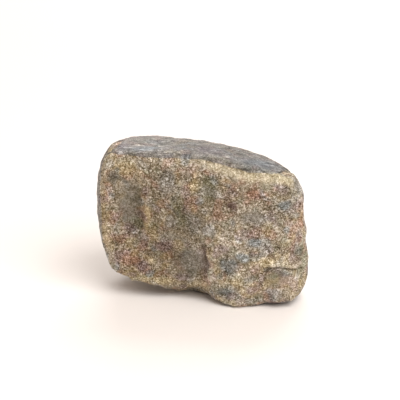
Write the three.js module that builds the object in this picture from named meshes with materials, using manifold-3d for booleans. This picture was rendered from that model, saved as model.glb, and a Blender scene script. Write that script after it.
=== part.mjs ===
// A hand specimen of bornite ore: one worn, block-shaped piece of solid copper ore, 50 mm long.
// Millimetres, +Z up. The stone stands as it is kept on a shelf, long side along X, with its
// broken, grainy face towards -Y and its smoother weathered skin on the top and the back.
// The origin is on the ground, under the middle of the stone.

import * as THREE from "three";
import { mergeVertices } from "three/addons/utils/BufferGeometryUtils.js";
import { ImprovedNoise } from "three/addons/math/ImprovedNoise.js";
import Module from "manifold-3d";

const { clamp, degToRad, mapLinear, smoothstep } = THREE.MathUtils;

const wasm = await Module();
wasm.setup();

// ---------------------------------------------------------------- driving sizes
// LENGTH is the long side. HEART is the point inside the stone that its faces are measured from.
const LENGTH = 50;
const HEART = new THREE.Vector3(0, 0, 17);

// How far the corners are worn round, at the left end and from the middle to the right.
const WEAR_LEFT = 1.3;
const WEAR_RIGHT = 0.75;

// Rows of triangles along each edge of the icosahedron that the surface is drawn on.
const DETAIL = 20;

// ---------------------------------------------------------------- shapes of relief
// 1 between low and high, 0 outside them, and smooth over twice the edge.
function within(value, low, high, edge) {
  const entered = smoothstep(value, low - edge, low + edge);
  const passed = smoothstep(value, high - edge, high + edge);
  return entered * (1 - passed);
}

// A round-bottomed hollow at a place on a face, with its size along the face and its depth.
function hollow(u, v, { at, size, depth }) {
  return -depth * Math.exp(-(((u - at[0]) / size[0]) ** 2) - ((v - at[1]) / size[1]) ** 2);
}

// ---------------------------------------------------------------- the broken front face
// Heights in mm over the face, at a place x, z on it. A negative height lies below the face.

// The right half stands proud of the left: a steep step low down that fades to a slope above.
const PROUD = 1.5;

function proudHalf(x, z) {
  const bow = 1 - 0.012 * (z - 9) ** 2;
  const lean = mapLinear(clamp(z, 15, 30), 15, 30, 0.6, 4.5);
  const middle = z < 15 ? bow : lean;
  const width = mapLinear(clamp(z, 13, 28), 13, 28, 2.4, 11);
  return PROUD * smoothstep(x, middle - width / 2, middle + width / 2);
}

// A flake has split off the upper left: its scar deepens to the right and ends in a wall.
const SCAR_DEPTH = 0.9;

function leftScar(x, z) {
  const slope = smoothstep(x, -22, -16);
  const wall = 1 - smoothstep(x, -15.3, -13.5);
  return -SCAR_DEPTH * slope * wall * within(z, 16.5, 29.5, 2);
}

// Low on the right a slab has dropped out under a ledge.
const LEDGE_DEPTH = 0.8;

function ledge(x, z) {
  const brow = 10.1 - 0.15 * (x - 14.8);
  return -LEDGE_DEPTH * within(x, 14.4, 22.5, 0.7) * within(z, 5.2, brow, 0.6);
}

// A blunt ridge climbs from the foot of the step to the brow of the ledge and runs along it.
const RIDGE_HEIGHT = 0.55;

function ridge(x, z) {
  const climbing = 4.8 + 0.57 * (x - 2.7);
  const level = 11 - 0.09 * (x - 13.5);
  const crest = x < 13.5 ? climbing : level;
  return RIDGE_HEIGHT * Math.exp(-(((z - crest) / 1.3) ** 2)) * within(x, 3, 23, 2);
}

const FRONT_HOLLOWS = [
  { name: "bay beside the step", at: [-4.5, 8], size: [6.5, 5.5], depth: 1.1 },
  { name: "dip under the top edge", at: [1.2, 26.5], size: [2, 4.5], depth: 0.45 },
  { name: "nick at the right end", at: [22, 11.5], size: [1.6, 2.4], depth: 0.6 },
  { name: "swollen toe", at: [7, 1], size: [5, 3], depth: -0.8 },
];

function frontRelief({ x, z }) {
  let height = proudHalf(x, z) + leftScar(x, z) + ledge(x, z) + ridge(x, z);
  for (const one of FRONT_HOLLOWS) height += hollow(x, z, one);
  return height;
}

// ---------------------------------------------------------------- the top, the back and the sole
const TOP_HOLLOWS = [
  { name: "dished left half", at: [-9, 3], size: [7, 5], depth: 0.4 },
  { name: "rise at the middle", at: [3, 6], size: [5, 4], depth: -0.3 },
];

function topRelief({ x, y }) {
  let height = 0;
  for (const one of TOP_HOLLOWS) height += hollow(x, y, one);
  return height;
}

const BACK_HOLLOWS = [
  { name: "thumb-sized scoop", at: [-7, 21], size: [6, 5], depth: 1.1 },
  { name: "shallow dish", at: [6, 12], size: [5, 4], depth: 0.6 },
];

// Below a slanting shelf the back is set in a little.
const SHELF_DEPTH = 0.7;

function backRelief({ x, z }) {
  const shelf = 13 + 0.25 * x;
  let height = -SHELF_DEPTH * (1 - smoothstep(z, shelf - 0.9, shelf + 0.9)) * within(x, -16, 2, 3);
  for (const one of BACK_HOLLOWS) height += hollow(x, z, one);
  return height;
}

// The sole is slightly domed, and it is lifted under the front of the left half, so that the
// stone stands on one small flat spot.
const SOLE_MIDDLE = [0, 1];
const SOLE_DOME = 0.0022;
const SOLE_HOLLOWS = [
  { name: "lift under the left half", at: [-4.6, -12], size: [6.5, 6.2], depth: 4.3 },
  { name: "lift under the right toe", at: [19, -14], size: [5, 5], depth: 0.2 },
];

function soleRelief({ x, y }) {
  let height = -SOLE_DOME * ((x - SOLE_MIDDLE[0]) ** 2 + (y - SOLE_MIDDLE[1]) ** 2);
  for (const one of SOLE_HOLLOWS) height += hollow(x, y, one);
  return height;
}

function noRelief() {
  return 0;
}

// ---------------------------------------------------------------- the faces of the block
// Each face is a plane. heading is where it looks in plan, in degrees from +X towards +Y,
// lift is how far it looks up, and reach is its distance from the heart of the stone in mm.
const FACES = [
  { name: "top skin", heading: 90, lift: 84.5, reach: 18.8, relief: topRelief },
  { name: "top skin, right", heading: 22.6, lift: 75.2, reach: 18.3 },
  { name: "front break", heading: -98.5, lift: 0, reach: 9.4, relief: frontRelief },
  { name: "front right corner", heading: -50, lift: 0, reach: 23 },
  { name: "right end", heading: 12, lift: 10, reach: 20.7 },
  { name: "right shoulder", heading: 20, lift: 30, reach: 21.8 },
  { name: "right back shoulder", heading: 56, lift: 35, reach: 18.3 },
  { name: "right back", heading: 48, lift: 5, reach: 14.5 },
  { name: "right foot", heading: 0, lift: -20, reach: 26.8 },
  { name: "right toe", heading: -20, lift: -50, reach: 28.7 },
  { name: "back", heading: 80, lift: 3, reach: 13, relief: backRelief },
  { name: "back shoulder", heading: 74, lift: 40, reach: 18.5 },
  { name: "back foot", heading: 85, lift: -45, reach: 17.5 },
  { name: "left back", heading: 130, lift: 0, reach: 21 },
  { name: "left end", heading: 176, lift: 0, reach: 25 },
  { name: "left shoulder", heading: 172, lift: 33, reach: 28.75 },
  { name: "left foot", heading: 183, lift: -20, reach: 25.4 },
  { name: "left sole", heading: 200, lift: -70, reach: 18.3 },
  { name: "sole", heading: 0, lift: -90, reach: 17.6, relief: soleRelief },
].map(({ heading, lift, reach, relief = noRelief }) => {
  const turn = degToRad(heading);
  const slope = degToRad(lift);
  const normal = new THREE.Vector3(
    Math.cos(slope) * Math.cos(turn),
    Math.cos(slope) * Math.sin(turn),
    Math.sin(slope),
  );
  return { normal, reach: reach + normal.dot(HEART), relief };
});

function wear({ x }) {
  return mapLinear(clamp(x, -22, 8), -22, 8, WEAR_LEFT, WEAR_RIGHT);
}

// How far a point is outside the block, in mm. The faces meet in edges as round as the wear.
function outsideBlock(p) {
  const soft = wear(p);
  let sum = 0;
  for (const { normal, reach, relief } of FACES) {
    sum += Math.exp((normal.dot(p) - reach - relief(p)) / soft);
  }
  return soft * Math.log(sum);
}

// ---------------------------------------------------------------- lumps and pits
// Pits where single grains have dropped out, each at a point on the surface, in mm.
const PITS = [
  { at: [22.3, -9, 21], radius: 1.8, depth: 0.4 },
  { at: [25, -4, 17.5], radius: 2.2, depth: 0.8 },
  { at: [23.5, 2, 11], radius: 2.2, depth: 0.5 },
  { at: [14, 9.5, 19], radius: 2, depth: 0.45 },
  { at: [2, 14, 25], radius: 1.8, depth: 0.4 },
  { at: [-14, 14.5, 12], radius: 2.3, depth: 0.5 },
  { at: [-24.5, 5, 22], radius: 2, depth: 0.45 },
  { at: [-24.3, 0, 14], radius: 1.7, depth: 0.4 },
  { at: [-16, 6, 2], radius: 2.4, depth: 0.5 },
];

function pitDepth(p) {
  let depth = 0;
  for (const { at, radius, depth: deepest } of PITS) {
    const away = Math.hypot(p.x - at[0], p.y - at[1], p.z - at[2]);
    depth += deepest * Math.exp(-((away / radius) ** 2));
  }
  return depth;
}

const noise = new ImprovedNoise();

function unevenness(p) {
  const broad = 0.45 * noise.noise(p.x / 9, p.y / 9, p.z / 9 + 3.7);
  const close = 0.22 * noise.noise(p.x / 3.5 + 5.1, p.y / 3.5, p.z / 3.5);
  return broad + close;
}

function skin(p) {
  return outsideBlock(p) + unevenness(p) + pitDepth(p);
}

// ---------------------------------------------------------------- the solid
const BISECTIONS = 40;

function radiusAlong(direction) {
  let inside = 0;
  let outside = LENGTH;
  const p = new THREE.Vector3();
  for (let i = 0; i < BISECTIONS; i++) {
    const middle = (inside + outside) / 2;
    p.copy(HEART).addScaledVector(direction, middle);
    if (skin(p) < 0) inside = middle;
    else outside = middle;
  }
  return inside;
}

function onlyPositions(geometry) {
  geometry.deleteAttribute("normal");
  geometry.deleteAttribute("uv");
  return mergeVertices(geometry, 1e-5);
}

// The ball is stretched like the block before it is blown up to the skin, so that its
// triangles come out alike in size.
const STRETCH = new THREE.Vector3(25, 12, 17);

function stoneGeometry() {
  const geometry = onlyPositions(new THREE.IcosahedronGeometry(1, DETAIL));
  const place = geometry.attributes.position;
  const direction = new THREE.Vector3();
  for (let i = 0; i < place.count; i++) {
    direction.fromBufferAttribute(place, i).multiply(STRETCH).normalize();
    const point = direction.multiplyScalar(radiusAlong(direction)).add(HEART);
    place.setXYZ(i, point.x, point.y, point.z);
  }
  return geometry;
}

function asSolid(geometry) {
  return new wasm.Manifold(
    new wasm.Mesh({
      numProp: 3,
      vertProperties: geometry.attributes.position.array,
      triVerts: new Uint32Array(geometry.index.array),
    }),
  );
}

// What would reach below the ground is cut off, which leaves the flat spot that the stone rests on.
function restingOnGround(geometry) {
  const ground = onlyPositions(new THREE.BoxGeometry(2 * LENGTH, 2 * LENGTH, LENGTH));
  ground.translate(0, 0, -LENGTH / 2);
  const { numProp, vertProperties, triVerts } = asSolid(geometry).subtract(asSolid(ground)).getMesh();
  const cut = new THREE.BufferGeometry();
  cut.setAttribute("position", new THREE.BufferAttribute(vertProperties, numProp));
  cut.setIndex(new THREE.BufferAttribute(triVerts, 1));
  return cut;
}

// Wear has taken the ends back, so the stone is brought to its length as well as its place.
function trueToSize(geometry) {
  geometry.computeBoundingBox();
  const { min, max } = geometry.boundingBox;
  const scale = LENGTH / (max.x - min.x);
  geometry.translate(-(min.x + max.x) / 2, -(min.y + max.y) / 2, -min.z);
  geometry.scale(scale, scale, scale);
  geometry.computeVertexNormals();
  return geometry;
}

// Dull metal: brown-gold ore with grey and blue tarnish.
const ore = new THREE.MeshStandardMaterial({ color: 0x84745a, roughness: 0.6, metalness: 0.3 });

const stone = new THREE.Mesh(trueToSize(restingOnGround(stoneGeometry())), ore);
stone.name = "bornite_stone";

const specimen = new THREE.Group();
specimen.add(stone);

export default specimen;
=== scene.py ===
import math

import bpy
import numpy as np
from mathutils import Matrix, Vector, noise


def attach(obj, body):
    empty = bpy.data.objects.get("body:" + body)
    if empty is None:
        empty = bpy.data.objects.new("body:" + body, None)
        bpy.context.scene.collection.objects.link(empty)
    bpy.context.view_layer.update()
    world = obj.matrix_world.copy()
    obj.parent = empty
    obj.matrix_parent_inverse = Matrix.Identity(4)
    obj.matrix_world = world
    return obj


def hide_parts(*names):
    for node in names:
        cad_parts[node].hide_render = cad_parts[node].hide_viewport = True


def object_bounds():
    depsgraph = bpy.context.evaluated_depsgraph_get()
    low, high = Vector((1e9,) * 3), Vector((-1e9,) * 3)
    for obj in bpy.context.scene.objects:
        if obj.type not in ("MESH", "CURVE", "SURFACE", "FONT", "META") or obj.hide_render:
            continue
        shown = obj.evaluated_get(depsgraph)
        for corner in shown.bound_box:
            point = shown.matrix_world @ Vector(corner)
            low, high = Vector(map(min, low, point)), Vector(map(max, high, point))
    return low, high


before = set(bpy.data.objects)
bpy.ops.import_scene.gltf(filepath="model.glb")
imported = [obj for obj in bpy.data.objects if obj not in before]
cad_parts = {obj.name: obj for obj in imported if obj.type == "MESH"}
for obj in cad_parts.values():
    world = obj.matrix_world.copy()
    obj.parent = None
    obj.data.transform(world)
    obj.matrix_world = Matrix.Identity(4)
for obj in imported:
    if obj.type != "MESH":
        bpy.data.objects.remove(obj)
cad_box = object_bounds()


# ---------------------------------------------------------------- the studio
# A pale paper sheet under a tent of soft white light, with one large soft box high in front on
# the right and a second one behind, which whitens the far end of the sheet. The camera stands in
# front of the long side of the stone and looks a little down on it.
CAMERA_RISE = math.radians(20)
CAMERA_AWAY = 0.320
CAMERA_LENS = 120
AIM_LEFT = 0.0007
AIM_ABOVE = 0.0036

low, high = cad_box
middle = (low + high) / 2
sight = Vector((0, math.cos(CAMERA_RISE), -math.sin(CAMERA_RISE)))
over = Vector((0, math.sin(CAMERA_RISE), math.cos(CAMERA_RISE)))
aim = middle - Vector((AIM_LEFT, 0, 0)) + over * AIM_ABOVE
bpy.ops.object.camera_add(location=aim - sight * CAMERA_AWAY, rotation=(math.pi / 2 - CAMERA_RISE, 0, 0))
camera = bpy.context.object
camera.data.lens = CAMERA_LENS
bpy.context.scene.camera = camera
bpy.context.scene.view_settings.view_transform = "Standard"


def linear(hex_colour):
    """A colour given as sRGB hex, as the linear RGBA that a node socket takes."""
    parts = [int(hex_colour[i : i + 2], 16) / 255 for i in (1, 3, 5)]
    return [c / 12.92 if c <= 0.04045 else ((c + 0.055) / 1.055) ** 2.4 for c in parts] + [1]


def add(tree, kind, inputs=None, **settings):
    """A new node with its settings. An input is a value, a socket, or a node for its first output."""
    node = tree.nodes.new(kind)
    for name, value in settings.items():
        setattr(node, name, value)
    for key, value in (inputs or {}).items():
        if isinstance(value, bpy.types.Node):
            value = value.outputs[0]
        if isinstance(value, bpy.types.NodeSocket):
            tree.links.new(value, node.inputs[key])
        else:
            node.inputs[key].default_value = value
    return node


def new_tree(name):
    """An empty material and its node tree."""
    material = bpy.data.materials.new(name)
    material.use_nodes = True
    material.node_tree.nodes.clear()
    return material, material.node_tree


# Matt paper, uncoated: white with a trace of warmth, and no shine at all.
paper, tree = new_tree("matt_paper")
shader = add(tree, "ShaderNodeBsdfPrincipled", {"Base Color": linear("#eae4df"), "Roughness": 0.95})
add(tree, "ShaderNodeOutputMaterial", {"Surface": shader})

SHEET_WIDE = 6
bpy.ops.mesh.primitive_plane_add(size=SHEET_WIDE)
floor = bpy.context.object
floor.name = "paper_sheet"
floor.data.materials.append(paper)

TENT_GLOW = 0.6
TENT_COLOUR = "#fff3ea"
world = bpy.data.worlds.new("light_tent")
bpy.context.scene.world = world
world.use_nodes = True
world.node_tree.nodes["Background"].inputs["Color"].default_value = linear(TENT_COLOUR)
world.node_tree.nodes["Background"].inputs["Strength"].default_value = TENT_GLOW

# Each box stands so many degrees round from the front, so many up, and so far away in metres.
SOFT_BOX_COLOUR = "#fdfeff"
SOFT_BOXES = {
    "soft_box_front": {"turn": 36, "lift": 50, "away": 0.5, "size": 0.40, "watts": 2.6},
    "soft_box_behind": {"turn": 172, "lift": 42, "away": 0.8, "size": 0.6, "watts": 3.9},
}
for name, light in SOFT_BOXES.items():
    turn = math.radians(light["turn"])
    lift = math.radians(light["lift"])
    toward = Vector((math.sin(turn) * math.cos(lift), -math.cos(turn) * math.cos(lift), math.sin(lift)))
    bpy.ops.object.light_add(type="AREA", location=middle + toward * light["away"])
    box = bpy.context.object
    box.name = name
    box.rotation_euler = toward.to_track_quat("Z", "Y").to_euler()
    box.data.size = light["size"]
    box.data.energy = light["watts"]
    box.data.color = linear(SOFT_BOX_COLOUR)[:3]


# ---------------------------------------------------------------- the ore stone
# One solid piece of massive copper ore: bornite and chalcopyrite grains of half a millimetre in
# a brown-grey rock. The front is a rough break that shows the grains. The top is older skin, worn
# smooth and tarnished grey, and patches of the same skin are left on the ends and the back.
MM = 0.001
GRID = 0.30 * MM
MERGE = 0.01 * MM
cad_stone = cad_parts["bornite_stone"]
stone = bpy.data.objects.new("ore_stone", cad_stone.data.copy())
bpy.context.collection.objects.link(stone)


def only(piece):
    """Selects one piece alone and makes it active."""
    bpy.ops.object.select_all(action="DESELECT")
    piece.select_set(True)
    bpy.context.view_layer.objects.active = piece


def finish_with(piece, kind, **settings):
    """Adds a modifier to the piece and applies it."""
    only(piece)
    modifier = piece.modifiers.new(kind.lower(), kind)
    for name, value in settings.items():
        setattr(modifier, name, value)
    bpy.ops.object.modifier_apply(modifier=modifier.name)


# The facets are rounded off, and the surface is laid out anew as one even grid for the relief.
only(stone)
stone.data.materials.clear()
bpy.ops.object.mode_set(mode="EDIT")
bpy.ops.mesh.select_all(action="SELECT")
bpy.ops.mesh.remove_doubles(threshold=MERGE)
bpy.ops.object.mode_set(mode="OBJECT")
finish_with(stone, "SUBSURF", levels=2, render_levels=2)
finish_with(stone, "REMESH", mode="VOXEL", voxel_size=GRID)


def points_of(mesh):
    """The vertices' places in mm, one row each."""
    values = np.zeros(len(mesh.vertices) * 3, np.float32)
    mesh.vertices.foreach_get("co", values)
    return values.reshape(-1, 3).astype(float) / MM


def normals_of(mesh):
    """The vertices' normals, one row each."""
    values = np.zeros(len(mesh.vertices) * 3, np.float32)
    mesh.vertex_normals.foreach_get("vector", values)
    return values.reshape(-1, 3).astype(float)


def edges_of(mesh):
    """The two vertices of each edge, one row each."""
    values = np.zeros(len(mesh.edges) * 2, np.int32)
    mesh.edges.foreach_get("vertices", values)
    return values.reshape(-1, 2)


def spread(values, edges, times):
    """The values at the vertices, evened out with their neighbours so many times."""
    a, b = edges[:, 0], edges[:, 1]
    count = np.bincount(edges.ravel(), minlength=len(values)).astype(float) + 1
    out = values.astype(float).reshape(len(values), -1)
    for _ in range(times):
        total = out.copy()
        for i in range(out.shape[1]):
            total[:, i] += np.bincount(a, out[b, i], len(out)) + np.bincount(b, out[a, i], len(out))
        out = total / count[:, None]
    return out.reshape(values.shape)


def ramp(value, start, end):
    """0 at start, 1 at end, and smooth between."""
    t = np.clip((value - start) / (end - start), 0, 1)
    return t * t * (3 - 2 * t)


def hump(value, middle, half):
    """1 at the middle, falling to 0 on both sides of it over about that half width."""
    return np.exp(-(((value - middle) / half) ** 2))


# Which way each place faces, with the small unevenness taken out.
edges = edges_of(stone.data)
places = points_of(stone.data)
x, y, z = places.T
broad = spread(normals_of(stone.data), edges, 9)
broad /= np.linalg.norm(broad, axis=1)[:, None]
up = broad[:, 2]
upright = 1 - ramp(up, 0.5, 0.8)

# The broken front looks this way in plan.
FRONT_TURN = math.radians(-98.5)
facing = broad @ np.array([math.cos(FRONT_TURN), math.sin(FRONT_TURN), 0])
front = ramp(facing, 0.1, 0.4)


def wander(size, start):
    """A value that wanders slowly over the stone, over that size in mm, mostly from -1 to 1."""
    return np.array([noise.noise(Vector(p) / size + Vector((start, 0, 0))) for p in places]) * 2


# A slow drift of places, in mm, that makes every drawn outline on the stone crooked. Its three
# parts wander from starts of their own.
DRIFT_SIZE = 2.2
DRIFT = 0.375
DRIFT_STARTS = (55.1, 97.3, 171.7)
drift_x, drift_y, drift_z = [DRIFT * wander(DRIFT_SIZE, start) for start in DRIFT_STARTS]

# The line along the top of the front, x and z in mm, where the break meets the old skin.
BROW = [
    (-25, 34.6), (-20.5, 35.9), (-14.4, 35.5), (-5.2, 35.6), (0.5, 35.4), (5.1, 34.6), (9.6, 33.7),
    (14.1, 33.4), (18.7, 33.5), (20.5, 33.9), (25, 36.0),
]
over_brow = z + 0.25 * drift_z - np.interp(x, *zip(*BROW))

# The old skin covers all of the top but its left end.
top_skin = np.maximum(ramp(up, 0.70, 0.82), ramp(up, 0.12, 0.28) * ramp(over_brow, -0.1, 0.3))
top_skin *= ramp(x + 0.9 * drift_x - 0.15 * y, -19.9, -18.9)

# It also covers a band beside the front, and patches of the ends and the back, which have chipped
# between them. At the left end it runs on a little way past the edge of the front.
beside_front = 1 - ramp(y + drift_y, -4.2, -2.8)
kept = ramp(wander(9, 3.1) + 0.30 * wander(2.6, 9.2) - 0.45 * ramp(x, 10, 20), -0.20, -0.08)
turned = facing - 0.20 * ramp(-x, 15, 21) - 0.6 * ramp(-x, 23.5, 24.1) + 0.12 * wander(4.0, 17.0)
end_skin = (1 - ramp(turned, 0.14, 0.30)) * np.maximum(kept, beside_front)

# The front corner at the right end of the top has chipped, in front of this line of x and y in mm
# and down to a crooked edge that falls towards the front.
CHIP = [(12, -16.0), (15.3, -13.4), (16.7, -12.6), (17.7, -11.6), (18.7, -9.2), (20.5, -5.0), (25, -4.5)]
chip = 1 - ramp(y + 0.3 * drift_y - np.interp(x, *zip(*CHIP)), -0.3, 0.2)
chip *= ramp(z + 1.3 * drift_z - 0.45 * (y + 10), 28.5, 30.0)

skin = np.maximum(top_skin, end_skin) * (1 - chip)
ends_and_back = (1 - front) * (1 - beside_front) * upright
near_side = np.maximum(front, beside_front) * upright

# A lobe is flat in the middle and fades at its edge, as these two numbers say.
LOBE_FLAT = 0.35
LOBE_FADE = 1.6


def lobe(u, v):
    """1 over the flat middle of a lobe and falling to 0 outside it; u and v are in half sizes."""
    return np.exp(-np.maximum(u * u + v * v - LOBE_FLAT, 0) * LOBE_FADE)


def in_lobe(place):
    """A lobe on the front, given as x, z, half width and half height in mm."""
    at_x, at_z, half_wide, half_high = place
    return lobe((x + drift_x - at_x) / half_wide, (z + drift_z - at_z) / half_high) * near_side


def on_top(place):
    """A lobe on the top, given as x, y, half width and half depth in mm."""
    at_x, at_y, half_wide, half_deep = place
    on_it = ramp(up, 0.3, 0.6)
    return lobe((x + drift_x - at_x) / half_wide, (y + drift_y - at_y) / half_deep) * on_it


def along(line, half_wide):
    """1 on a line of x, z points on the front, falling to 0 beside it."""
    best = np.full(len(x), np.inf)
    for (x0, z0), (x1, z1) in zip(line[:-1], line[1:]):
        dx, dz = x1 - x0, z1 - z0
        off_x, off_z = x + 0.5 * drift_x - x0, z + 0.5 * drift_z - z0
        t = np.clip((off_x * dx + off_z * dz) / (dx * dx + dz * dz), 0, 1)
        best = np.minimum(best, np.hypot(off_x - t * dx, off_z - t * dz))
    return hump(best, 0, half_wide) * front


# Lines on the front: x, z points and half width in mm, and how deep each crack is, where 1 is
# the deepest. The ridge over the slab and the crest of the step stand out instead.
CRACKS = {
    "wall of the scar": ([(-15.1, 29.5), (-15.3, 24.8), (-14.9, 21.0), (-14.9, 18.5)], 1.1, 0.35),
    "wall of the bay": (
        [(-1.8, 15.6), (-0.6, 14.9), (0.1, 13.6), (0.4, 12.0), (0.5, 10.0), (0.2, 8.0), (-0.8, 6.6)],
        0.55, 0.75,
    ),
    "over the slab": ([(15.2, 10.3), (19.1, 10.3), (23.0, 9.7)], 0.24, 1.0),
    "end of the slab": ([(15.2, 10.3), (14.2, 7.2)], 0.35, 0.4),
    "nick": ([(21.8, 11.8), (21.7, 14.2), (22.6, 15.7), (23.8, 15.0)], 0.45, 0.5),
}
cracks = np.maximum.reduce([along(line, wide) * depth for line, wide, depth in CRACKS.values()])
ridge = along([(3.4, 4.4), (5.0, 5.9), (8.7, 9.0), (12.0, 11.3), (15.1, 11.6), (22.0, 11.2)], 1.0)
crest = along([(0.7, 15.4), (1.4, 12.5), (1.6, 9.5), (1.5, 6.5)], 0.8)

# Places on the front, in mm: x, z, half width, half height, how much lighter they are, how smooth.
# Some of these are painted light and shade: the bay, the wall of the scar, the foot hollow and the right
# hollow are darkened as painted shade; the crest of the step, the lip of the scar, the band under the
# brow and the right edge are lightened as painted light; and the toe and the left sill are lightened as
# painted light thrown up from the paper.
PLACES = {
    "bay": (-3.2, 9.8, 4.5, 5.0, -0.065, 0.7),
    "wall of the bay": (-0.2, 11.0, 1.0, 4.2, 0.010, 0.8),
    "left half": (-9.0, 17.0, 9.5, 12.0, -0.105, 0.3),
    "lower left": (-17.5, 11.0, 3.0, 3.0, -0.035, 0.0),
    "scar": (-17.8, 23.4, 2.7, 5.6, -0.080, 0.9),
    "wall of the scar": (-15.3, 23.6, 0.9, 6.8, -0.050, 0.7),
    "lip of the scar": (-13.4, 21.0, 1.2, 4.6, 0.060, 0.6),
    "green lens": (-5.5, 21.9, 1.9, 2.8, -0.055, 0.5),
    "dark middle": (-1.6, 21.2, 2.6, 3.6, -0.070, 0.4),
    "right lens": (11.4, 23.2, 3.6, 1.4, -0.070, 0.6),
    "right middle": (7.6, 22.8, 2.2, 3.0, -0.045, 0.0),
    "rusty spot": (-20.4, 13.6, 1.8, 1.7, -0.055, 0.1),
    "olive band": (1.2, 28.0, 1.5, 4.0, -0.115, 0.5),
    "wine spot": (6.4, 25.4, 1.4, 1.5, -0.155, 0.5),
    "dark spot": (11.6, 13.9, 1.8, 1.6, -0.085, 0.2),
    "left spot": (-20.6, 26.0, 1.2, 2.3, -0.080, 0.2),
    "brown band": (-9.0, 31.2, 5.5, 2.2, -0.060, 0.1),
    "pale spot": (-9.2, 24.2, 2.6, 2.6, 0.055, 0.0),
    "left corner spot": (-20.9, 30.1, 1.4, 1.8, -0.115, 0.5),
    "right spot": (18.6, 26.4, 2.2, 1.4, -0.005, 0.4),
    "nick": (22.8, 13.8, 1.0, 1.8, -0.160, 0.4),
    "slab": (17.6, 7.5, 3.2, 2.1, -0.015, 0.9),
    "foot hollow": (6.0, 4.2, 2.8, 1.6, -0.055, 0.5),
    "shoulder": (4.0, 16.0, 3.0, 2.6, 0.070, 0.0),
    "white shoulder": (1.2, 18.7, 1.6, 1.2, 0.050, 0.2),
    "crest of the step": (1.9, 9.5, 1.3, 5.0, 0.120, 0.2),
    "blue patch": (7.0, 11.6, 3.2, 2.4, -0.060, 0.4),
    "under the ridge": (12.0, 8.2, 2.4, 1.9, 0.065, 0.0),
    "toe": (14.0, 4.2, 5.0, 1.8, 0.060, 0.3),
    "right half": (13.0, 17.5, 8.0, 4.5, 0.015, 0.0),
    "under the brow": (9.5, 31.2, 7.0, 1.6, 0.045, 0.35),
    "right facet": (20.4, 30.4, 1.8, 2.2, -0.095, 0.3),
    "right edge": (23.0, 18.5, 2.0, 7.0, 0.045, 0.0),
    "right hollow": (18.4, 19.8, 2.0, 1.5, -0.060, 0.1),
    "left edge": (-22.4, 21.0, 1.4, 8.0, 0.020, 0.0),
    "left sill": (-14.0, 4.8, 5.0, 1.6, 0.060, 0.0),
    "right foot": (21.5, 6.6, 1.6, 2.8, 0.060, 0.0),
    "pale grain": (-12.4, 9.9, 0.75, 0.6, 0.250, 0.8),
}
lobes = {name: in_lobe(place[:4]) for name, place in PLACES.items()}
lighter = sum(lobe_here * PLACES[name][4] for name, lobe_here in lobes.items())
smooth = np.maximum.reduce([lobe_here * PLACES[name][5] for name, lobe_here in lobes.items()])

# Slow clouds of tone lie over all of it, the skin beside the front is rubbed paler towards both ends,
# the outer end of the chip is lightened as a painted highlight, and the top is darker, most of all to
# the right.
CLOUD_TONE = 0.035
lighter += (1 - 0.5 * skin) * (CLOUD_TONE * wander(5.5, 21.7) + CLOUD_TONE * wander(2.0, 14.9))
lighter += skin * beside_front * upright * (0.06 * ramp(x, 10, 18) + 0.07 * ramp(-x, 18, 22))
lighter += 0.12 * chip * ramp(x, 21.0, 22.0)
lighter -= 0.050 * on_top((13, -5, 12, 9)) + 0.020 * on_top((-8, -4, 12, 9))

# Silvery flecks on the top, painted sheen where the bloom is rubbed off: x, y, half width, half depth in
# mm.
FLECKS = [
    (-19.0, -5.4, 0.9, 0.6), (-16.7, -3.7, 1.5, 0.4), (-13.6, -5.5, 1.4, 0.4), (-12.3, -4.4, 1.2, 0.4),
    (-7.8, -7.2, 1.5, 0.4), (-15.0, -1.0, 1.0, 0.4), (2.6, -3.5, 0.4, 0.4), (5.5, -7.5, 0.5, 0.4),
]
SHEEN_FLECK_TONE = 0.26
for fleck in FLECKS:
    lighter += SHEEN_FLECK_TONE * on_top(fleck) * skin

# The rim of the front, just under the brow, is rubbed smooth along its right half.
rim = ramp(-over_brow, -0.5, 0.1) * (1 - ramp(-over_brow, 1.4, 3.0)) * front
rubbed_rim = rim * ramp(x, -4, 4)

# The outline is fuller at the right shoulder, slimmer at the waist and the foot below it, and
# higher at two arches under the lower edge of the front. Most relief fades out just above the
# paper, so that the stone rests on its flat. Smooth places lose part of their relief and grain.
CALM = 0.65
above = ramp(z, 0.05, 0.6)
shoulder = hump(z, 27.8, 2.9) * ramp(x, 17.5, 20.5)
waist = (hump(z, 16.0, 1.7) + 0.5 * hump(z, 4.5, 3.0)) * ramp(x, 20, 22.5)
arch = hump(x, -1.6, 2.8) + 0.6 * hump(x, 14.2, 2.6)
arch *= (1 - ramp(z, 2.4, 4.4)) * (1 - ramp(y, -5.0, -2.0))
GROUPS = {
    "shoulder": shoulder,
    "waist": waist,
    "arch": arch * above,
    "broken": (1 - skin) * above * (1 - CALM * smooth),
    "skin": skin * above,
    "cracks": cracks * above,
    "ridge": ridge * above,
    "crest": crest * above,
    "back": ends_and_back * ramp(-facing, 0.2, 0.5) * above,
    "chipped": spread((1 - skin) * ends_and_back * above, edges, 4),
}
# A group takes many vertices at one weight, so the weights are rounded to so many steps.
STEPS = 24
for name, weights in GROUPS.items():
    group = stone.vertex_groups.new(name=name)
    levels = np.round(weights * STEPS)
    for k in range(1, STEPS + 1):
        group.add(np.nonzero(levels == k)[0].tolist(), k / STEPS, "REPLACE")


def relief(group, depth, pattern=None, size=1.0, **settings):
    """Moves the surface out by depth in mm where the group is, by a pattern of that size in mm."""
    texture = None
    if pattern:
        texture = bpy.data.textures.new(group, pattern)
        texture.noise_scale = size * MM
    for name, value in settings.items():
        setattr(texture, name, value)
    finish_with(
        stone, "DISPLACE", texture=texture, texture_coords="LOCAL", vertex_group=group,
        strength=depth * MM, mid_level=0.5 if pattern else 0.0,
    )


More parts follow.
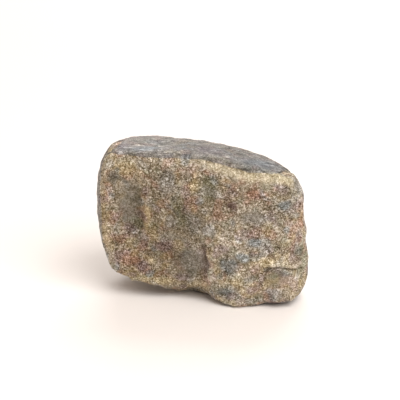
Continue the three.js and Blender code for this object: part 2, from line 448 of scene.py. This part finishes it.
# First the outline, the drawn lines and the patches that have lost their skin, then slow lumps on
# the back, the broken lumps and grains from coarse to fine, and the low waves of the skin.
relief("shoulder", 0.75)
relief("waist", -0.55)
relief("arch", -1.1)
relief("cracks", -0.5)
relief("ridge", 0.3)
relief("crest", 0.3)
relief("chipped", -0.6)
relief("back", 2.4, "CLOUDS", 6.0, noise_depth=1)
relief("broken", 1.0, "CLOUDS", 2.8, noise_depth=1)
relief("broken", 0.38, "VORONOI", 1.5, weight_1=-1.0, weight_2=1.0)
relief("broken", 0.42, "CLOUDS", 0.8, noise_depth=1)
relief("broken", 0.30, "VORONOI", 0.6)
relief("skin", 0.40, "CLOUDS", 3.0, noise_depth=1)
relief("skin", 0.22, "CLOUDS", 0.9, noise_depth=1)
stone.vertex_groups.clear()

# Nothing sinks below the paper.
carved = points_of(stone.data)
carved[:, 2] = np.maximum(carved[:, 2], 0)
stone.data.vertices.foreach_set("co", (carved * MM).astype(np.float32).ravel())
stone.data.update()


def stand_out(mesh, times):
    """How far in mm each place stands out of the surface round it. It is negative in a hollow."""
    away = points_of(mesh) - spread(points_of(mesh), edges, times)
    return np.einsum("ij,ij->i", away, spread(normals_of(mesh), edges, 3))


# Seen against half a millimetre round each place, and against some two millimetres round it.
near = stand_out(stone.data, 6)
far = stand_out(stone.data, 60)

# Edges that hands and other stones have rubbed, lightened also as a painted highlight where they catch
# the light; and hollows and cracks darkened as painted shade, with some dark dust.
wear_and_highlight = rim * (0.10 + 0.80 * ramp(x, -4, 4)) + ramp(far, 0.25, 0.75) * 0.6 + 0.35 * ridge
shade_and_dust = np.clip(ramp(-near, 0.04, 0.2) * 0.6 + ramp(-far, 0.2, 0.9) * 0.5 + cracks * 0.7, 0, 1)

# The minerals that colour the rock: the patches of each on the front in mm (x, z, half width,
# half height), those on the top (x, y, half width, half depth), and how common it is elsewhere,
# where 0.4 is often and 0 or less is hardly ever.
HOST = "#928570"
MINERALS = {
    "olive": {
        "colour": "#86836c",
        "common": 0.30,
        "on_top": [(-12.0, 2.3, 3.0, 2.0), (4.0, 0.0, 3.0, 2.0)],
        "patches": [
            (-5.5, 21.9, 2.4, 3.2), (1.2, 29.0, 1.8, 3.6), (-15.5, 19.0, 2.0, 4.5),
            (-14.0, 5.0, 6.0, 1.8), (22.8, 9.0, 1.2, 4.0), (23.5, 14.0, 1.0, 6.0),
            (18.0, 7.8, 2.6, 1.9),
        ],
    },
    "rust": {
        "colour": "#97725b",
        "common": 0.26,
        "on_top": [(-19.4, 2.0, 1.8, 1.8)],
        "patches": [
            (-2.3, 23.9, 1.0, 1.2), (-17.0, 10.4, 3.0, 2.2), (-13.3, 7.1, 1.0, 0.9),
            (23.0, 22.5, 1.1, 3.5), (-3.4, 29.2, 1.0, 0.9), (1.5, 33.0, 2.4, 0.9),
            (12.0, 28.5, 3.0, 1.2), (-22.4, 27.0, 0.9, 3.0),
        ],
    },
    "brass": {
        "colour": "#a4926d",
        "common": 0.38,
        "on_top": [(-22.0, -3.0, 1.4, 3.0)],
        "patches": [
            (22.0, 6.0, 1.8, 2.6), (12.0, 5.7, 1.5, 0.8), (-13.0, 20.5, 0.9, 4.0),
            (-11.0, 4.6, 6.0, 1.3), (13.0, 12.3, 6.0, 1.0), (-18.5, 32.4, 4.0, 2.0),
            (7.0, 6.5, 2.6, 1.2), (3.4, 9.0, 1.0, 4.0), (-23.2, 20.0, 1.0, 9.0),
            (-12.4, 9.9, 0.9, 0.7), (-2.0, 29.6, 1.4, 2.6), (-17.0, 5.8, 2.6, 1.6),
        ],
    },
    "peacock": {
        "colour": "#818788",
        "common": -0.10,
        "on_top": [(13.0, -8.0, 5.0, 3.5), (-13.5, -4.0, 4.0, 3.0)],
        "patches": [
            (6.0, 10.8, 2.5, 2.2), (9.2, 12.8, 2.2, 1.4), (18.6, 26.2, 2.2, 1.8),
            (5.2, 4.0, 2.5, 1.5), (12.4, 16.6, 2.2, 1.4),
        ],
    },
    "purple": {
        "colour": "#806b67",
        "common": 0.15,
        "on_top": [(-18.6, -2.0, 1.8, 3.0), (1.5, -4.0, 3.6, 4.0)],
        "patches": [
            (6.5, 25.4, 1.2, 1.4), (15.4, 23.0, 1.6, 0.9), (-17.4, 18.0, 1.8, 1.4),
            (-14.4, 8.6, 1.4, 1.8), (0.2, 11.0, 1.0, 4.0), (-4.6, 6.0, 1.8, 1.2),
            (-9.0, 14.0, 2.6, 1.8),
        ],
    },
    "ash": {
        "colour": "#8f8a81",
        "common": 0.12,
        "on_top": [],
        "patches": [
            (21.2, 29.5, 1.8, 3.2), (-2.6, 9.8, 3.6, 4.6), (11.8, 22.6, 3.8, 1.8),
            (-2.3, 20.0, 2.0, 3.0), (-7.4, 20.4, 2.0, 2.2), (-17.3, 23.5, 2.4, 5.0),
            (1.2, 18.7, 2.0, 1.5), (-21.0, 30.2, 1.3, 1.9), (-8.4, 29.6, 2.2, 4.0),
        ],
    },
}


def tinted(colours, hex_colour, amount):
    """The colours, each moved towards one colour by an amount of its own."""
    return colours + amount[:, None] * (np.array(linear(hex_colour)) - colours)


PATCH_SIZE = 2.9
PATCH_TINT = 0.8
ELSEWHERE_TINT = 0.52
colour = np.tile(linear(HOST), (len(x), 1))
for index, mineral in enumerate(MINERALS.values()):
    elsewhere = wander(PATCH_SIZE, 31.0 + 7.3 * index)
    amount = ELSEWHERE_TINT * ramp(elsewhere, 0.45 - mineral["common"], 1.05 - mineral["common"])
    for patch in mineral["patches"]:
        amount = np.maximum(amount, PATCH_TINT * in_lobe(patch))
    for patch in mineral["on_top"]:
        amount = np.maximum(amount, PATCH_TINT * on_top(patch))
    colour = tinted(colour, mineral["colour"], amount)

# A pale cream for rubbed edges, which also paints the highlight where the rounded edges catch the light.
RUBBED_AND_HIGHLIGHT = "#c6ba9c"
RUBBED_AND_HIGHLIGHT_TINT = 0.75
colour = tinted(colour, RUBBED_AND_HIGHLIGHT, RUBBED_AND_HIGHLIGHT_TINT * np.clip(wear_and_highlight, 0, 1))


def keep(name, values):
    """Stores one number or colour for each vertex, for the material to read."""
    kind, field = ("FLOAT_COLOR", "color") if values.ndim == 2 else ("FLOAT", "value")
    values = values.astype(np.float32).ravel()
    stone.data.attributes.new(name, kind, "POINT").data.foreach_set(field, values)


# The hollows and cracks are darkened here as painted shade, with some dust.
SHADE_AND_DUST_TONE = 0.11
keep("ore_colour", colour)
keep("skin", skin)
keep("lighter", lighter - SHADE_AND_DUST_TONE * shade_and_dust)
# Where the silvery flecks of painted sheen lie on the top, partly bloom rubbed off.
keep("silver_sheen", np.maximum(on_top((-12, -3, 7, 6)), 0.6 * on_top((-3.5, -6.5, 4, 2.5))))
keep("smooth", np.maximum(smooth, 0.6 * rubbed_rim))
only(stone)
bpy.ops.object.shade_smooth()

# Massive copper ore, broken and worn. Each grain has a tone and a tilt of its own, so that the
# break glitters dully, over slow patches of brown, brass, rust and blue. The skin is rubbed to a
# grey bloom. Sizes are in mm: a grain, the sway of its outline, a speck in it, and the crumpled
# flakes that run through the grains. Real specks are finer, and are drawn as coarse as they need
# to show. Tones are added to a colour as the eye sees it, so that a bright grain is also paler.
EYE = 2.2
GRAIN = 0.50
SWAY_SIZE = 0.9
SWAY = 0.6
SPECK = 0.22
FLAKE = 0.42
GRAIN_TONE = 0.17
SPECK_TONE = 0.42
FLAKE_TONE = 0.80
TONE_SUM = GRAIN_TONE + SPECK_TONE + FLAKE_TONE
ore, tree = new_tree("massive_copper_ore")
metres = add(tree, "ShaderNodeTexCoord").outputs["Object"]
mm = add(tree, "ShaderNodeVectorMath", {0: metres, "Scale": 1 / MM}, operation="SCALE")
sway = add(tree, "ShaderNodeTexNoise", {"Vector": mm, "Scale": 1 / SWAY_SIZE, "Detail": 1.0})
crooked = add(
    tree, "ShaderNodeVectorMath", {0: sway.outputs["Color"], 1: (SWAY, SWAY, SWAY), 2: mm},
    operation="MULTIPLY_ADD",
)
grain = add(tree, "ShaderNodeTexVoronoi", {"Vector": crooked, "Scale": 1 / GRAIN}).outputs["Color"]
chance = add(tree, "ShaderNodeSeparateColor", {0: grain}).outputs
speck = add(tree, "ShaderNodeTexVoronoi", {"Vector": mm, "Scale": 1 / SPECK}).outputs["Color"]
speck_chance = add(tree, "ShaderNodeSeparateColor", {0: speck}).outputs
flake = add(
    tree, "ShaderNodeTexNoise",
    {"Vector": mm, "Scale": 1 / FLAKE, "Detail": 2.0, "Roughness": 0.55, "Distortion": 1.2},
).outputs["Fac"]
skin_here = add(tree, "ShaderNodeAttribute", attribute_name="skin").outputs["Fac"]
lighter_here = add(tree, "ShaderNodeAttribute", attribute_name="lighter").outputs["Fac"]
silver_sheen_here = add(tree, "ShaderNodeAttribute", attribute_name="silver_sheen").outputs["Fac"]
smooth_here = add(tree, "ShaderNodeAttribute", attribute_name="smooth").outputs["Fac"]
ore_colour = add(tree, "ShaderNodeAttribute", attribute_name="ore_colour").outputs["Color"]

# The break: how much lighter each place is than its mineral, on a scale where white is 1. A
# lighter grain is also a little cooler.
COOLER = (0.97, 1.0, 1.08)
tone = add(
    tree, "ShaderNodeMath", {0: chance[0], 1: GRAIN_TONE, 2: -TONE_SUM / 2}, operation="MULTIPLY_ADD"
)
tone = add(
    tree, "ShaderNodeMath", {0: speck_chance[0], 1: SPECK_TONE, 2: tone}, operation="MULTIPLY_ADD"
)
tone = add(tree, "ShaderNodeMath", {0: flake, 1: FLAKE_TONE, 2: tone}, operation="MULTIPLY_ADD")
calm = add(tree, "ShaderNodeMath", {0: smooth_here, 1: -CALM, 2: 1.0}, operation="MULTIPLY_ADD")
tone = add(tree, "ShaderNodeMath", {0: tone, 1: calm, 2: lighter_here}, operation="MULTIPLY_ADD")
ore_seen = add(tree, "ShaderNodeGamma", {"Color": ore_colour, "Gamma": 1 / EYE})
broken_seen = add(
    tree, "ShaderNodeVectorMath", {0: tone, 1: COOLER, 2: ore_seen}, operation="MULTIPLY_ADD"
)

# The skin: a grey bloom, rubbed in fine streaks along the stone, with silvery flecks at the left that
# are painted sheen.
# Streaks and flecks are drawn out lengthwise, and their sizes are those across the stone. The ore
# shows through the bloom by the share that BLOOM_THIN gives.
BLOOM = "#4d5158"
BLOOM_THIN = 0.42
LENGTHWISE = (0.45, 1.0, 1.0)
STREAK = 1.1
SILVER_FLECK = 0.8
SILVER_SHEEN_TONE = 0.18
SKIN_STREAK_TONE = 0.75
SKIN_FLAKE_TONE = 0.48
SKIN_SPECK_TONE = 0.22
SKIN_TONE_SUM = SKIN_STREAK_TONE + SKIN_FLAKE_TONE + SKIN_SPECK_TONE
drawn_out = add(tree, "ShaderNodeVectorMath", {0: mm, 1: LENGTHWISE}, operation="MULTIPLY")
streak = add(
    tree, "ShaderNodeTexNoise",
    {"Vector": drawn_out, "Scale": 1 / STREAK, "Detail": 4.0, "Roughness": 0.7},
).outputs["Fac"]
glint = add(
    tree, "ShaderNodeTexNoise", {"Vector": drawn_out, "Scale": 1 / SILVER_FLECK, "Detail": 1.0}
).outputs["Fac"]
glint = add(
    tree, "ShaderNodeMapRange",
    {"Value": glint, "From Min": 0.55, "From Max": 0.65, "To Min": 0.0, "To Max": SILVER_SHEEN_TONE},
)
skin_tone = add(tree, "ShaderNodeMath", {0: glint, 1: silver_sheen_here}, operation="MULTIPLY")
SKIN_PATTERNS = [
    (streak, SKIN_STREAK_TONE),
    (flake, SKIN_FLAKE_TONE),
    (speck_chance[1], SKIN_SPECK_TONE),
]
for pattern, strength in SKIN_PATTERNS:
    skin_tone = add(
        tree, "ShaderNodeMath", {0: pattern, 1: strength, 2: skin_tone}, operation="MULTIPLY_ADD"
    )
skin_tone = add(tree, "ShaderNodeMath", {0: skin_tone, 1: -SKIN_TONE_SUM / 2}, operation="ADD")
skin_tone = add(tree, "ShaderNodeMath", {0: skin_tone, 1: lighter_here}, operation="ADD")

# The colour sockets of a mix node: how much of the second it takes, the two colours, the result.
SHARE, FIRST, SECOND, MIXED = 0, 6, 7, 2
bloom = add(
    tree, "ShaderNodeMix", {SHARE: BLOOM_THIN, FIRST: linear(BLOOM), SECOND: ore_colour},
    data_type="RGBA",
).outputs[MIXED]
skin_seen = add(tree, "ShaderNodeGamma", {"Color": bloom, "Gamma": 1 / EYE})
skin_seen = add(tree, "ShaderNodeVectorMath", {0: skin_seen, 1: skin_tone}, operation="ADD")

# The skin's edge is ragged along its streaks, and nothing on the stone is quite black.
RAGGED = 1.2
EDGE_BLUR = 0.125
HALFWAY = 0.5 + RAGGED / 2
DARKEST = (0.04, 0.04, 0.04)
edge = add(tree, "ShaderNodeMath", {0: streak, 1: RAGGED, 2: skin_here}, operation="MULTIPLY_ADD")
edge = add(
    tree, "ShaderNodeMapRange",
    {"Value": edge, "From Min": HALFWAY - EDGE_BLUR, "From Max": HALFWAY + EDGE_BLUR},
)
seen = add(
    tree, "ShaderNodeMix", {SHARE: edge, FIRST: broken_seen, SECOND: skin_seen}, data_type="RGBA"
).outputs[MIXED]
seen = add(tree, "ShaderNodeVectorMath", {0: seen, 1: DARKEST}, operation="MAXIMUM")
final = add(tree, "ShaderNodeGamma", {"Color": seen, "Gamma": EYE})

# Each grain is partly metal, more or less glossy, and tilted its own way. Each pair is how much
# the grains differ, and the least that any of them has. The flakes stand out of the grains.
METAL = (0.5, 0.05)
ROUGH = (0.3, 0.38)
TILT = 0.5
FLAKE_HIGH = 0.2 * MM
metal = add(tree, "ShaderNodeMath", {0: chance[0], 1: METAL[0], 2: METAL[1]}, operation="MULTIPLY_ADD")
rough = add(tree, "ShaderNodeMath", {0: chance[2], 1: ROUGH[0], 2: ROUGH[1]}, operation="MULTIPLY_ADD")
bump = add(tree, "ShaderNodeBump", {"Height": flake, "Strength": 0.7, "Distance": FLAKE_HIGH})
tilt = add(
    tree, "ShaderNodeVectorMath", {0: grain, 1: [TILT] * 3, 2: [-TILT / 2] * 3},
    operation="MULTIPLY_ADD",
)
facet = add(tree, "ShaderNodeVectorMath", {0: tilt, 1: bump}, operation="ADD")
facet = add(tree, "ShaderNodeVectorMath", {0: facet}, operation="NORMALIZE")
shader = add(
    tree, "ShaderNodeBsdfPrincipled",
    {"Base Color": final, "Metallic": metal, "Roughness": rough, "Normal": facet},
)
add(tree, "ShaderNodeOutputMaterial", {"Surface": shader})
stone.data.materials.append(ore)

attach(stone, "root")
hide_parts("bornite_stone")
